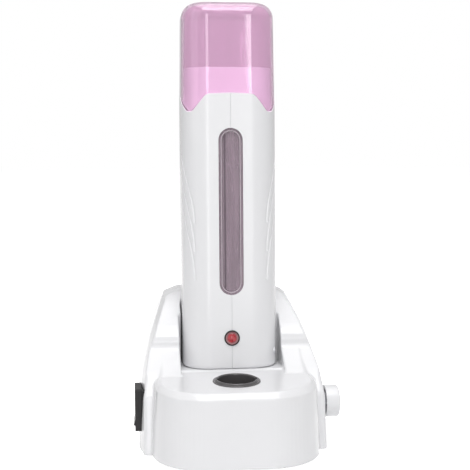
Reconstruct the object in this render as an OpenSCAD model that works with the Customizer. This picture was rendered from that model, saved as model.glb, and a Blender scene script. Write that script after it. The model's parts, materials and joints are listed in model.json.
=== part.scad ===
// Roll on wax heater: a hand-held cartridge heater with a clear cap, standing in a mains dock.
// Millimetres, +Z up, the front faces -Y. The origin is at the centre of the footprint.

/* [Handset] */
// Width of the handset body
body_w = 60; // [57:0.5:66]
// Depth of the handset body, front to back
body_d = 47.5; // [45:0.5:54]
// Corner radius of the body in plan
body_r = 17; // [15:0.5:20]
// Height of the body from its foot to the rim of its neck
body_h = 188.6; // [184:0.5:200]
// Wall of the two body shells
body_wall = 2.2; // [1.8:0.1:2.4]
// Radius round the foot of the body
foot_round = 2.5; // [1.5:0.5:5]
// Width of the shut line where the two shells meet
shut_line = 0.3; // [0.2:0.1:0.6]
// Depth of the shut line and of the grip grooves
groove_depth = 0.6; // [0.3:0.1:1]
// How far the handset leans back in its dock, in degrees
lean = 3.8; // [0:0.2:6]

/* [Cap] */
// Height of the closed end of the cap above the foot of the handset
cap_top = 229.5; // [220:0.5:240]
// Wall of the cap
cap_wall = 1.6; // [1.2:0.1:2]
// Running gap between the cap and the neck it slides on
cap_gap = 0.35; // [0.3:0.05:0.5]
// Height of the cap's edge in the middle of each face
cap_arch_z = 172.4; // [168:0.2:176]
// Height of the lowest point of the cap's corner lobes
cap_lobe_z = 161.7; // [158:0.2:164]
// Radius round the closed end of the cap
cap_round = 9; // [6:0.5:12]
// How much the cap narrows on each side up to its closed end
cap_draft = 0.9; // [0.4:0.1:1.4]

/* [Window and lamp] */
// Width of the viewing window
window_w = 15.2; // [10:0.2:20]
// Height of the lower end of the window
window_z0 = 46.8; // [44:0.2:60]
// Height of the upper end of the window
window_z1 = 151; // [120:0.5:154]
// How far the window sits back in the shell
window_recess = 0.5; // [0.3:0.1:1]
// Height of the indicator lamp
lamp_z = 19.8; // [18:0.2:24]
// Outer diameter of the lamp's black ring
lamp_d = 9.8; // [8:0.2:12]

/* [Heating chamber] */
// Distance from the side of the body to the wax cartridge's space
chamber_side = 4.8; // [4.7:0.1:6]
// Distance from the front and the back of the body to that space
chamber_face = 7.25; // [7:0.05:8.5]
// Corner radius of the wax cartridge space
chamber_r = 14; // [10:0.5:15]
// Wall of the aluminium sleeve
sleeve_wall = 0.9; // [0.6:0.1:1]
// Height of the floor that the cartridge stands on
chamber_floor_z = 48.5; // [45:0.5:50]

/* [Dock] */
// Half width of the dock at the table
dock_half_w = 58.8; // [56:0.2:64]
// Distance from the handset's axis to the front of the side arms
arm_front = 48; // [45:0.5:52]
// Distance from the handset's axis to the back of the dock
dock_back = 43; // [40:0.5:50]
// Height of the top of the dock's back
dock_top = 91.5; // [88:0.5:100]
// Half width of the dock at its shoulders
shoulder_half_w = 40; // [38:0.5:46]
// Wall of the dock housing
dock_wall = 2.2; // [1.8:0.1:3]
// Rounding of the outer edges of the side arms
arm_round = 2; // [1.5:0.5:4]
// Height where the sides start to lean in
waist_z = 33; // [26:1:40]
// Height of the pocket floor that the handset stands on
seat_z = 44.3; // [42:0.2:50]
// Gap round the handset in its pocket
seat_gap = 0.8; // [0.5:0.1:1.5]
// Gap between the dock's shell and the table
foot_gap = 0.5; // [0.4:0.1:2]

/* [Apron] */
// Half width of the rounded front apron at the table
apron_half_w = 51.4; // [48:0.2:54]
// Distance from the handset's axis to the front of the apron at the table
apron_front = 79; // [74:0.5:86]
// Corner radius of the apron in plan
apron_r = 33; // [26:1:36]
// Rounding of the apron's top edge
apron_round = 5; // [3:0.5:7]
// How much the apron's wall leans in up to its top
apron_draft = 2.4; // [1:0.2:3.4]

/* [Front well] */
// Bore of the black well in the apron
well_bore = 22.6; // [18:0.2:26]
// Diameter of the well's flange
well_flange = 29.2; // [26:0.2:32]
// Depth of the well's bore
well_depth = 27; // [18:0.5:30]
// Distance from the handset's axis forward to the well's axis
well_y = 48; // [46:0.5:52]

/* [Switch] */
// Height of the switch's frame
switch_h = 26.4; // [24:0.2:31]
// Width of the switch's frame
switch_w = 17; // [14:0.5:18]
// How far the frame stands out of the dock's side
switch_proud = 3.25; // [2.5:0.25:5]
// Distance forward from the handset's axis to the switch
switch_y = 28; // [26:0.5:29]
// Height of the switch's centre
switch_z = 25; // [22:0.5:27]
// Swing of the rocker from off to on, in degrees
switch_swing = 16; // [10:1:20]

/* [Knob] */
// Diameter of the temperature knob
knob_d = 20; // [16:0.5:22]
// Length of the knob
knob_l = 8.6; // [8:0.2:14]
// Distance forward from the handset's axis to the knob
knob_y = 24; // [20:0.5:28]
// Height of the knob's centre
knob_z = 23.7; // [20:0.5:26]

/* [Hidden] */
$fn = 48;
eps = 0.01;
hull_fn = 28;

// Colours as the photograph shows them
white = "#f1f1f2";
black = "#2b292b";
metal = "#c9ccd0";
brass = "#c8a85a";
green = "#2f6b45";

// Handset, derived
neck_inset = cap_wall + cap_gap;
neck_w = body_w - 2*neck_inset;
neck_d = body_d - 2*neck_inset;
neck_r = body_r - neck_inset;
neck_wall = 1.6;
cap_root_z = cap_lobe_z - 6;
cavity_top = cap_lobe_z - 4;
rim_t = 2;
floor_t = 2.6;
rib_bite = 1;
lobe_half_w = body_w/2 - 6.6;
lobe_half_d = body_d/2 - 6.8;
arch_half_w = body_w/2 - 15.1;
arch_half_d = body_d/2 - 18.3;
arch_round = 6;
arch_crown = 0.5;
lobe_round = 2;

// Grip grooves: arcs in side view, each one's upright lower end on the front corner.
// Each row is the height of that end and the arc's radius
grip_arcs = [[92, 83], [74, 103], [56, 118]];
grip_rise = 54;
grip_front = body_d/2 - 3;
grip_width = 1.1;

// Chamber, derived
chamber_w = body_w - 2*chamber_side;
chamber_d = body_d - 2*chamber_face;
sleeve_w = chamber_w + 2*sleeve_wall;
sleeve_d = chamber_d + 2*sleeve_wall;
sleeve_r = chamber_r + sleeve_wall;
sleeve_top = body_h - rim_t - 2.2;
slot_w = 10.4;
slot_z0 = window_z0 + 4.5;
slot_z1 = window_z1 - 4;
gasket_lip = 0.4;
floor_plate_t = 3;
floor_vent_d = 5;
floor_vent_x = 14;
shelf_t = 2;
shelf_z = chamber_floor_z - floor_plate_t - shelf_t;
plate_w = 22;
plate_t = 2.4;
plate_z0 = 74;
plate_z1 = 150;
clip_t = 0.6;
clip_h = 8;
clip_inset = 10;
pad_t = 0.5;
pad_over = 2;
fuse_d = 3.4;
fuse_l = 11;
fuse_drop = 14;
lead_d = 0.8;
thermostat_d = 15;
thermostat_h = 6;
thermostat_cap_d = 9;
thermostat_cap_h = 3;
tab_w = 4.8;
tab_t = 0.8;
tab_l = 7;

// Window pane
window_flange = 1.5;
flange_t = 1;
pane_border = 3;
pane_dish = 0.4;
notch_w = 1.6;

// Lamp
lens_d = 6.4;
ring_hole_d = 7.4;
ring_proud = 0.7;
ring_edge = 0.35;
ring_step = 0.6;
ring_deep = 5;
lens_dome_d = 1.34*lens_d;
bulb_d = 4.4;
bulb_lead_gap = 1.27;
bulb_lead_d = 0.6;
lamp_board_w = 18;
lamp_board_h = 21;
lamp_board_t = 1.2;
lamp_board_y = 7;
lamp_board_z = lamp_z - 5;
guide_w = 3;
fit = 0.15;

// Handset screws, at the foot and hidden by the dock's pocket
boss_d = 6.4;
boss_y = 13;
boss_z = 10;
screw_d = 2.6;
screw_head_d = 5;
screw_sink = 4;
screw_hole = screw_d + 0.3;
screw_head_h = 2;
screw_end = -9;
recess_w = 0.7;

// Socket and pins between handset and dock
socket_w = 26;
socket_d = 15;
socket_h = 13;
pin_pitch = 14;
pin_d = 4;
pin_rise = 9;
contact_bore = pin_d + 0.6;
contact_od = contact_bore + 1.4;
nose_w = 24;
nose_d = 12;
nose_rise = 2;
plug_body = 3;
plug_flange = 2;
plug_over = 3;
pin_root = 10;
pin_tip = 1;

// Dock, derived
// Side arms: the front edge leans back, curls back faster above curl_z, stands upright at
// brow_y and curls back again above brow_z
arm_slope = 0.2;
arm_curl = 0.032;
curl_z = 30;
brow_y = 13;
brow_z = 62;
brow_curl = 0.27;
side_power = 1.6;
side_draft = 1.2;
crown = 2.5;
shoulder_drop = 4.5;
shoulder_round = 3;
// In plan the arms draw in over their front corners, and a little towards the back
corner_l = 13;
back_narrow = 0.8;
ramp_y = 34.5;
ramp_tilt = 30.5;
ramp_half_w = apron_half_w - 4.4;
ramp_deep = 9;
pocket_half_w = 32.4/30*body_w/2;
pocket_front = body_d/2 + 0.6;
apron_top = seat_z + 0.7;
cover_t = 2.4;
cover_gap = 0.3;
cover_play = 0.3;
post_d = 7.6;
post_rib = 2;
post_rib_l = 30;
rear_post_h = 32;
post_xy = [[45, 32], [-45, 32], [37, -52], [-37, -52]];
base_screw_d = 3;
base_screw_l = 11;
base_head_d = 5.6;
base_head_h = 1;
screw_bite = 0.5;
foot_d = 12;
foot_chamfer = 0.7;
foot_pocket = 1.4;
foot_t = foot_gap + foot_pocket;
foot_xy = [[46, 20], [-46, 20], [30, -64], [-30, -64]];

vent_w = 2;
vent_l = 14;
vent_pitch = 6;
vent_count = 11;

// Switch
side_wall_x = dock_half_w - side_draft*switch_z/waist_z;
switch_wall = 1.6;
switch_seat_x = dock_half(switch_z + switch_h/2) - 0.2;
switch_body_h = switch_h - 2.4;
switch_body_w = switch_w - 1.2;
switch_deep = 17;
switch_mouth_w = switch_w - 2*switch_wall;
switch_mouth_h = switch_h - 4;
rocker_r = switch_mouth_h/2 - 0.35;
rocker_w = switch_mouth_w - 0.6;
rocker_crown = 2.2;
rocker_pin_d = 2.4;
pin_gap = 0.05;
pin_l = switch_w - 1.8;
terminal_l = 8;
terminal_pitch = 6;
pivot_x = side_wall_x - 0.6;

// Knob and regulator
knob_wall_x = dock_half_w - side_draft*knob_z/waist_z;
knob_gap = 0.8;
knob_x0 = knob_wall_x + knob_gap;
knob_x1 = knob_x0 + knob_l;
knob_edge = 1.2;
pointer_w = 1.2;
pointer_l = 5;
shaft_d = 6;
shaft_gap = 0.06;
bushing_d = 9;
nut_af = 12;
nut_t = 2;
regulator_d = 25;
regulator_l = 14;
regulator_gap = 2;
regulator_x1 = knob_wall_x - dock_wall - regulator_gap;
shaft_x0 = knob_wall_x - 14;

// Well, inlet, board
well_wall = 1.6;
well_top = apron_top + 1.6;
lip_d = well_bore + 3;
key_w = 3.2;
key_deep = 0.9;
key_l = 9;
inlet_w = 22;
inlet_h = 12;
inlet_z = 20;
inlet_deep = 17;
inlet_lip = 1;
inlet_rim = 2;
inlet_back = 5;
inlet_pitch = 8.6;
inlet_pin_d = 2.4;
inlet_bore_d = 9.2;
board_z = 9;
board_t = 1.6;
board_x = 30;
board_y0 = -24;
board_y1 = 17;
board_post_d = 6;
board_inset = 4;
board_top = board_z + board_t;
board_hole_xy = [for (x = [-1, 1], y = [board_y0 + board_inset, board_y1 - board_inset])
    [x*(board_x - board_inset), y]];
board_screw_d = 2;
board_screw_l = 5;
board_head_d = 4.4;
board_head_h = 1.6;
relay_at = [-22, -12];
relay_size = [19, 15.5, 15];
capacitor_at = [5.5, -8];
capacitor_d = 10;
capacitor_h = 16;
board_fuse_at = [-13, 10];
board_fuse_d = 5.2;
board_fuse_l = 20;
fuse_clip = [3, 4, 1.5];
block_at = [12, -20];
block_size = [10, 22, 10];
block_pitch = 7.5;

// Where the dock sits so that the middle of the whole footprint is the origin
left_reach = side_wall_x + switch_proud;
place_x = (left_reach - knob_x1)/2;
place_y = (apron_front - dock_back - inlet_lip)/2;

// ---- shared shapes -------------------------------------------------------

// Rounded rectangle with exact arcs
module plan(w, d, r) {
    square([w - 2*r, d], center = true);
    square([w, d - 2*r], center = true);
    for (x = [-1, 1], y = [-1, 1])
        translate([x*(w/2 - r), y*(d/2 - r)]) circle(r);
}

module block(w, d, r, z0, z1) {
    translate([0, 0, z0]) linear_extrude(z1 - z0) plan(w, d, r);
}

// Rounded-rectangle block whose wall follows a profile: the child is the
// profile from the corner's centre outwards, between heights z0 and z1
module swept_block(w, d, r, z0, z1) {
    core_w = w/2 - r;
    core_d = d/2 - r;
    for (x = [0, 1], y = [0, 1])
        mirror([x, 0, 0]) mirror([0, y, 0]) translate([core_w, core_d, 0])
            rotate_extrude(angle = 90) children();
    rotate([90, 0, 90]) linear_extrude(2*core_w, center = true) paired(core_d, z0, z1) children();
    rotate([90, 0, 0]) linear_extrude(2*core_d, center = true) paired(core_w, z0, z1) children();
}

module paired(half, z0, z1) {
    for (s = [0, 1]) mirror([s, 0]) translate([half, 0]) children();
    translate([-half, z0]) square([2*half, z1 - z0]);
}

// Obround standing upright in the XZ plane, pushed through along Y
module upright_slot(w, z0, z1, y0, y1) {
    translate([0, y1, 0]) rotate([90, 0, 0]) linear_extrude(y1 - y0) {
        translate([-w/2, z0 + w/2]) square([w, z1 - z0 - w]);
        for (z = [z0 + w/2, z1 - w/2]) translate([0, z]) circle(w/2);
    }
}

module along_x(x0, x1, y, z) {
    translate([x0, y, z]) rotate([90, 0, 90]) linear_extrude(x1 - x0) children();
}

module along_y(y0, y1, x, z) {
    translate([x, y1, z]) rotate([90, 0, 0]) linear_extrude(y1 - y0) children();
}

module place() {
    translate([place_x, place_y, 0]) children();
}

// The handset's own frame: foot at the origin, standing in the leaning pocket
module in_hand() {
    place() translate([0, 0, seat_z]) rotate([-lean, 0, 0]) children();
}

// ---- handset body --------------------------------------------------------

function arc_points(c, r, a0, a1, n = 6) =
    [for (i = [0:n]) let (a = a0 + (a1 - a0)*i/n) [c[0] + r*cos(a), c[1] + r*sin(a)]];

// Outline of the white wall below the cap's edge, seen from the front or the side:
// a crowned arch, a slope on each side and a rounded foot where the cap's lobe ends
module arch_outline(flat_half, lobe_half, drop) {
    z_arch = cap_arch_z - drop;
    z_lobe = cap_lobe_z - drop;
    tilt = atan2(z_arch - z_lobe, lobe_half - flat_half);
    top_cut = arch_round*tan(tilt/2);
    foot_cut = lobe_round*tan(tilt/2);
    right = concat(
        arc_points([flat_half - top_cut, z_arch - arch_round], arch_round, 90, 90 - tilt),
        arc_points([lobe_half + foot_cut, z_lobe + lobe_round], lobe_round, 270 - tilt, 270, 4),
        [[2*lobe_half, z_lobe], [2*lobe_half, z_lobe - 20]]);
    left = [for (i = [len(right) - 1:-1:0]) [-right[i][0], right[i][1]]];
    polygon(concat([[0, z_arch + arch_crown]], right, left));
}

// Everything below the cap's wavy edge, lowered by drop
module below_cap_edge(drop) {
    translate([0, body_d, 0]) rotate([90, 0, 0]) linear_extrude(2*body_d)
        arch_outline(arch_half_w, lobe_half_w, drop);
    translate([-body_w, 0, 0]) rotate([90, 0, 90]) linear_extrude(2*body_w)
        arch_outline(arch_half_d, lobe_half_d, drop);
    translate([-body_w, -body_d, -20]) cube([2*body_w, 2*body_d, cap_lobe_z - drop + 20]);
}

module foot_profile() {
    difference() {
        square([body_r, cap_arch_z]);
        translate([body_r - foot_round, 0]) difference() {
            translate([0, -1]) square([foot_round + 1, foot_round + 1]);
            translate([0, foot_round]) circle(foot_round);
        }
    }
}

// How far the cap's wall has narrowed at height z
function cap_narrowing(z) = cap_draft*max(0, z - cap_root_z)/(cap_top - cap_round - cap_root_z);

// The neck narrows upwards as the cap does, so the gap between them stays even
module neck_profile() {
    z0 = cap_lobe_z - 10;
    polygon([[0, z0], [neck_r, z0], [neck_r, cap_root_z], [neck_r - cap_narrowing(body_h), body_h],
        [0, body_h]]);
}

module body_outside() {
    intersection() {
        swept_block(body_w, body_d, body_r, 0, cap_arch_z) foot_profile();
        below_cap_edge(cap_gap);
    }
    swept_block(neck_w, neck_d, neck_r, cap_lobe_z - 10, body_h) neck_profile();
}

module body_cavity() {
    block(body_w - 2*body_wall, body_d - 2*body_wall, body_r - body_wall, floor_t, cavity_top);
    block(neck_w - 2*neck_wall, neck_d - 2*neck_wall, neck_r - neck_wall, cavity_top - eps,
        body_h - rim_t);
    block(chamber_w, chamber_d, chamber_r, body_h - rim_t - 1, body_h + 1);
}

// A thin skin under the body's surface, where shallow grooves are cut
module body_skin() {
    difference() {
        block(body_w + 4, body_d + 4, body_r + 2, -1, body_h + 1);
        block(body_w - 2*groove_depth, body_d - 2*groove_depth, body_r - groove_depth, -2, body_h + 2);
    }
}

module grip_grooves() {
    intersection() {
        body_skin();
        for (g = grip_arcs) intersection() {
            translate([-body_w, 0, 0]) rotate([90, 0, 90]) linear_extrude(2*body_w)
                translate([g[1] - grip_front, g[0]]) difference() {
                    circle(g[1] + grip_width/2, $fn = 180);
                    circle(g[1] - grip_width/2, $fn = 180);
                }
            translate([-body_w, -body_d/2, g[0]]) cube([2*body_w, body_d, grip_rise]);
        }
    }
}

module shut_line_groove() {
    intersection() {
        body_skin();
        translate([-shut_line/2, -body_d, -2]) cube([shut_line, 2*body_d, cap_arch_z + 4]);
    }
    along_y(-body_d/2 - 1, -body_d/2 + 2, 0, 0) polygon([[-notch_w/2, -1], [notch_w/2, -1], [0, notch_w]]);
}

// Opening for the window, and clear room behind the wall for its flange
module window_opening() {
    room = window_flange + 0.2;
    upright_slot(window_w, window_z0, window_z1, -body_d, -body_d/2 + 6);
    upright_slot(window_w + 2*room, window_z0 - room, window_z1 + room, -body_d/2 + body_wall,
        -body_d/2 + 6);
}

// Shelf that carries the chamber floor, and the collar that steadies the sleeve
module inner_ribs() {
    difference() {
        block(body_w - 2*body_wall + rib_bite, body_d - 2*body_wall + rib_bite, body_r - body_wall,
            shelf_z, shelf_z + shelf_t);
        block(chamber_w - 8, chamber_d - 6, chamber_r - 3, shelf_z - 1, shelf_z + shelf_t + 1);
    }
    for (x = [-1, 1]) difference() {
        translate([x*lamp_board_w/2 - guide_w/2, -body_d/2 + body_wall - 1, lamp_board_z])
            cube([guide_w, lamp_board_y + 3.6 - body_wall, lamp_board_h - 2]);
        translate([-lamp_board_w/2 - fit, -body_d/2 + lamp_board_y - fit, lamp_board_z - 1])
            cube([lamp_board_w + 2*fit, lamp_board_t + 2*fit, lamp_board_h + 2]);
    }
}

module shell_bosses() {
    for (y = [-boss_y, boss_y]) along_x(-body_w/2 + body_wall - 1, body_w/2 - body_wall + 1, y, boss_z)
        circle(d = boss_d);
}

module screw_holes(x0, x1, d) {
    for (y = [-boss_y, boss_y]) along_x(x0, x1, y, boss_z) circle(d = d);
}

module shell_solid() {
    difference() {
        union() {
            difference() {
                body_outside();
                body_cavity();
            }
            inner_ribs();
            intersection() {
                shell_bosses();
                block(body_w - 2*body_wall + 1, body_d, body_r - 2, floor_t, boss_z + boss_d);
            }
        }
        window_opening();
        grip_grooves();
        shut_line_groove();
        along_y(-body_d, -body_d/2 + 6, 0, lamp_z) circle(d = lamp_d - 2*ring_step);
        block(nose_w + 1, nose_d + 1, 3, -1, floor_t + 1);
    }
}

module side_half(side) {
    translate([side > 0 ? 0 : -100, -100, -10]) cube([100, 200, body_h + 20]);
}

module shell_left() {
    color(white) in_hand() difference() {
        intersection() { shell_solid(); side_half(-1); }
        screw_holes(screw_end - 3, 1, screw_d);
    }
}

module shell_right() {
    color(white) in_hand() difference() {
        intersection() { shell_solid(); side_half(1); }
        screw_holes(-1, body_w, screw_hole);
        screw_holes(body_w/2 - screw_sink, body_w, screw_head_d + 0.6);
    }
}

module shell_screws() {
    color(metal) in_hand() for (y = [-boss_y, boss_y]) {
        along_x(screw_end, body_w/2 - screw_sink, y, boss_z) circle(d = screw_d);
        difference() {
            along_x(body_w/2 - screw_sink, body_w/2 - screw_sink + screw_head_h, y, boss_z)
                circle(d = screw_head_d);
            along_x(body_w/2 - screw_sink + screw_head_h/2, body_w, y, boss_z)
                cross_recess(screw_head_d);
        }
    }
}

// Cross recess for a screw's head
module cross_recess(head_d) {
    for (a = [0, 90]) rotate(a) square([0.6*head_d, recess_w], center = true);
}

// Clear window: a lens that fills the opening, with a flange behind the wall
module view_window() {
    color("#8f7f8c", 0.6) in_hand() {
        face = -body_d/2 + window_recess;
        difference() {
            upright_slot(window_w - 2*fit, window_z0 + fit, window_z1 - fit, face,
                -body_d/2 + body_wall);
            upright_slot(window_w - 2*pane_border, window_z0 + pane_border,
                window_z1 - pane_border, face - 1, face + pane_dish);
        }
        upright_slot(window_w + 2*window_flange, window_z0 - window_flange,
            window_z1 + window_flange, -body_d/2 + body_wall, -body_d/2 + body_wall + flange_t);
    }
}

// ---- heating chamber -----------------------------------------------------

module chamber_sleeve() {
    color(metal) in_hand() difference() {
        block(sleeve_w, sleeve_d, sleeve_r, chamber_floor_z, sleeve_top);
        block(chamber_w, chamber_d, chamber_r, chamber_floor_z - 1, sleeve_top + 1);
        upright_slot(slot_w, slot_z0, slot_z1, -body_d, -chamber_d/2 + 2);
    }
}

module chamber_floor() {
    color(black) in_hand() difference() {
        block(sleeve_w, sleeve_d, sleeve_r, chamber_floor_z - floor_plate_t, chamber_floor_z);
        for (x = [-1, 1]) translate([x*floor_vent_x, 0, chamber_floor_z - floor_plate_t - 1])
            cylinder(d = floor_vent_d, h = floor_plate_t + 2);
    }
}

module chamber_gasket() {
    color("#8b8d90") in_hand() difference() {
        block(neck_w - 2*neck_wall - 2*fit, sleeve_d + 2, sleeve_r, sleeve_top, body_h - rim_t);
        block(chamber_w - 2*gasket_lip, chamber_d - 2*gasket_lip, chamber_r - gasket_lip,
            sleeve_top - 1, body_h);
    }
}

module heater_plate() {
    color("#d9d2c2") in_hand()
        translate([-plate_w/2, sleeve_d/2, plate_z0]) cube([plate_w, plate_t, plate_z1 - plate_z0]);
}

module heater_clip() {
    color(metal) in_hand() for (z = [plate_z0 + clip_inset, plate_z1 - clip_inset - clip_h])
        translate([-plate_w/2 - clip_t, 0, z]) {
            translate([0, sleeve_d/2 + plate_t, 0]) cube([plate_w + 2*clip_t, clip_t, clip_h]);
            for (x = [0, plate_w + clip_t])
                translate([x, sleeve_d/2, 0]) cube([clip_t, plate_t + clip_t, clip_h]);
        }
}

module thermal_fuse() {
    color("#b9a27a") in_hand() translate([0, sleeve_d/2 + fuse_d/2, plate_z0 - fuse_drop])
        rotate([0, 90, 0]) {
            cylinder(d = fuse_d, h = fuse_l, center = true);
            cylinder(d = lead_d, h = 2*fuse_l, center = true);
        }
}

module thermostat_disc() {
    color(black) in_hand() translate([0, 0, chamber_floor_z - floor_plate_t]) mirror([0, 0, 1]) {
        cylinder(d = thermostat_d, h = thermostat_h);
        translate([0, 0, thermostat_h]) cylinder(d = thermostat_cap_d, h = thermostat_cap_h);
        for (x = [-1, 1])
            translate([x*(thermostat_d/2 - 2) - tab_t/2, -tab_w/2, thermostat_h])
                cube([tab_t, tab_w, tab_l]);
    }
}

// ---- indicator lamp ------------------------------------------------------

module lamp_ring() {
    color(black) in_hand() translate([0, -body_d/2, lamp_z]) rotate([90, 0, 0]) difference() {
        union() {
            rotate_extrude() polygon([[0, 0], [lamp_d/2, 0], [lamp_d/2, ring_proud - ring_edge],
                [lamp_d/2 - ring_edge, ring_proud], [0, ring_proud]]);
            translate([0, 0, -ring_deep]) cylinder(d = lamp_d - 2*ring_step - 2*fit, h = ring_deep);
        }
        translate([0, 0, ring_proud - 1.1]) cylinder(d = ring_hole_d, h = 2);
        translate([0, 0, -ring_deep - 1]) cylinder(d = lens_d, h = ring_deep + 3);
    }
}

module lamp_lens() {
    color("#c02832") in_hand() translate([0, -body_d/2, lamp_z]) rotate([90, 0, 0]) difference() {
        union() {
            translate([0, 0, -ring_deep]) cylinder(d = lens_d, h = ring_deep + 0.2);
            intersection() {
                translate([0, 0, -lens_d/2]) sphere(d = lens_dome_d);
                cylinder(d = lens_d, h = lens_d);
            }
        }
        translate([0, 0, -ring_deep - 1]) cylinder(d = bulb_d, h = ring_deep);
    }
}

module lamp_bulb() {
    color("#f4d9cf") in_hand() translate([0, -body_d/2, lamp_z]) rotate([90, 0, 0]) {
        translate([0, 0, -lamp_board_y]) cylinder(d = bulb_d - 0.4, h = lamp_board_y - 2);
        for (x = [-1, 1]) translate([x*bulb_lead_gap, 0, -lamp_board_y - lamp_board_t - 1])
            cylinder(d = bulb_lead_d, h = lamp_board_t + 1.1);
    }
}

module lamp_board() {
    color(green) in_hand() translate([0, -body_d/2 + lamp_board_y, 0]) difference() {
        translate([-lamp_board_w/2, 0, lamp_board_z]) cube([lamp_board_w, lamp_board_t, lamp_board_h]);
        for (x = [-bulb_lead_gap, bulb_lead_gap]) along_y(-1, 4, x, lamp_z)
            circle(d = bulb_lead_d + 0.1);
    }
}

// ---- socket in the foot --------------------------------------------------

module dock_socket() {
    color(black) in_hand() difference() {
        translate([0, 0, floor_t]) linear_extrude(socket_h) plan(socket_w, socket_d, 2);
        for (x = [-1, 1]) translate([x*pin_pitch/2, 0, floor_t - 1])
            cylinder(d = contact_od, h = socket_h - 1);
        block(nose_w - 0.6, nose_d - 0.6, 2.6, floor_t - 1, floor_t + nose_rise);
    }
}

module socket_contacts() {
    color(brass) in_hand() for (x = [-1, 1]) translate([x*pin_pitch/2, 0, 0]) difference() {
        translate([0, 0, floor_t + nose_rise]) cylinder(d = contact_od, h = socket_h - nose_rise - 2);
        translate([0, 0, floor_t + nose_rise - 1]) cylinder(d = contact_bore, h = socket_h);
    }
}

// ---- cap -----------------------------------------------------------------

// Cap wall from the corner's centre outwards, drafted, with a rounded closed end
module cap_profile(inset, top) {
    r0 = body_r - inset;
    r1 = r0 - cap_draft;
    round = cap_round - inset;
    difference() {
        polygon([[0, cap_root_z], [r0, cap_root_z], [r1, top - round], [r1, top], [0, top]]);
        translate([r1 - round, top - round]) difference() {
            square([round + 2, round + 2]);
            circle(round);
        }
    }
}

module cap() {
    color("#f0a8d4", 0.5) in_hand() difference() {
        swept_block(body_w, body_d, body_r, cap_root_z, cap_top) cap_profile(0, cap_top);
        swept_block(body_w, body_d, body_r, cap_root_z - 1, cap_top - cap_wall)
            union() {
                cap_profile(cap_wall, cap_top - cap_wall);
                translate([0, cap_root_z - 1]) square([body_r - cap_wall, 1.1]);
            }
        below_cap_edge(0);
    }
}

// ---- dock housing --------------------------------------------------------

function dock_half(z) = z < waist_z
    ? dock_half_w - side_draft*z/waist_z
    : dock_half_w - side_draft - (dock_half_w - side_draft - shoulder_half_w)
        *pow((z - waist_z)/(dock_top - shoulder_drop - waist_z), side_power);

function arm_y(z) = min(-arm_front + arm_slope*z + arm_curl*pow(max(0, z - curl_z), 2),
    -brow_y + brow_curl*pow(max(0, z - brow_z), 1.5));

function corner_in(z) = 2.4 - min(1, z/45);

// Outline of the side arms at one height, as [how far the half width is drawn in, y]
function arm_plan(z) = [[corner_in(z), arm_y(z)], [0, arm_y(z) + corner_l], [back_narrow, dock_back]];

// What the curled front edge leaves free, between two heights in side view
module front_bite(z0, z1) {
    along_x(-2*dock_half_w, 2*dock_half_w, 0, 0)
        polygon(concat([for (z = [z0:3:z1]) [arm_y(z), z]], [[-2*arm_front, z1], [-2*arm_front, z0]]));
}

// Side arms and back, inset by a wall, with rounded edges
module arms_form(inset) {
    r = arm_round;
    top = dock_top - inset;
    back_y = dock_back - inset - r;
    difference() {
        hull() {
            for (z = [20, waist_z, 46, 62, 70, 77, top - shoulder_drop - shoulder_round], x = [-1, 1],
                p = arm_plan(z))
                translate([x*(dock_half(z) - p[0] - inset - r), min(p[1] + inset + r, back_y), z])
                    sphere(r, $fn = hull_fn);
            for (x = [-1, 0, 1], y = [arm_y(top - r) + inset + r, back_y])
                translate([x*(shoulder_half_w - 9 - inset), y, top - r - crown*abs(x)])
                    sphere(r, $fn = hull_fn);
            for (x = [-1, 1], p = arm_plan(0))
                translate([x*(dock_half_w - p[0] - inset - r), min(p[1] + inset + r, back_y),
                    foot_gap - 1]) cylinder(r = r, h = 1, $fn = hull_fn);
        }
        translate([0, 0.8*inset, -0.7*inset]) front_bite(26, 26 + 3*ceil((dock_top - 26)/3));
    }
}

module apron_profile(inset) {
    r0 = apron_r - inset;
    top = apron_top - inset;
    r1 = r0 - apron_draft;
    round = apron_round - min(inset, apron_round - 1);
    difference() {
        polygon([[0, foot_gap - 1], [r0, foot_gap - 1], [r1, top], [0, top]]);
        translate([r1 - round, top - round]) difference() {
            translate([0.4*round, 0.4*round]) square(round);
            circle(round);
        }
    }
}

module apron_form(inset) {
    len_y = 2*(apron_front - inset) - 40;
    translate([0, -20, 0]) intersection() {
        swept_block(2*(apron_half_w - inset), len_y, apron_r - inset, foot_gap - 1,
            apron_top - inset) apron_profile(inset);
        translate([-100, -100, 0]) cube([200, 100, 100]);
    }
}

// The apron's top turned up as a ramp against the arms
module ramp_form(inset) {
    ramp_l = (ramp_y - brow_y)/cos(ramp_tilt) + 3;
    translate([0, -ramp_y, apron_top]) rotate([ramp_tilt, 0, 0]) translate([0, ramp_l, -ramp_deep])
        rotate([90, 0, 0]) linear_extrude(ramp_l)
            plan(2*(ramp_half_w - inset), 2*(ramp_deep - inset), apron_round - 1);
}

module dock_form(inset) {
    difference() {
        union() {
            arms_form(inset);
            apron_form(inset);
            ramp_form(inset);
        }
        translate([-150, -150, foot_gap - 20]) cube([300, 300, 20 + (inset > 0 ? -eps : 0)]);
    }
}

// Pocket for the handset, open at the top and in front, grown by a wall
module pocket(grow, floor_drop) {
    reach = grow > 0 ? apron_front : pocket_front;
    translate([0, 0, seat_z]) rotate([-lean, 0, 0]) {
        block(body_w + 2*seat_gap + 2*grow, body_d + 2*seat_gap + 2*grow, body_r + seat_gap + grow,
            -floor_drop, dock_top);
        translate([-pocket_half_w - grow, -reach, -floor_drop])
            cube([2*(pocket_half_w + grow), reach, dock_top]);
    }
    if (grow == 0) translate([-pocket_half_w, -apron_front, apron_top])
        cube([2*pocket_half_w, apron_front - pocket_front + 1, dock_top]);
}

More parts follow.
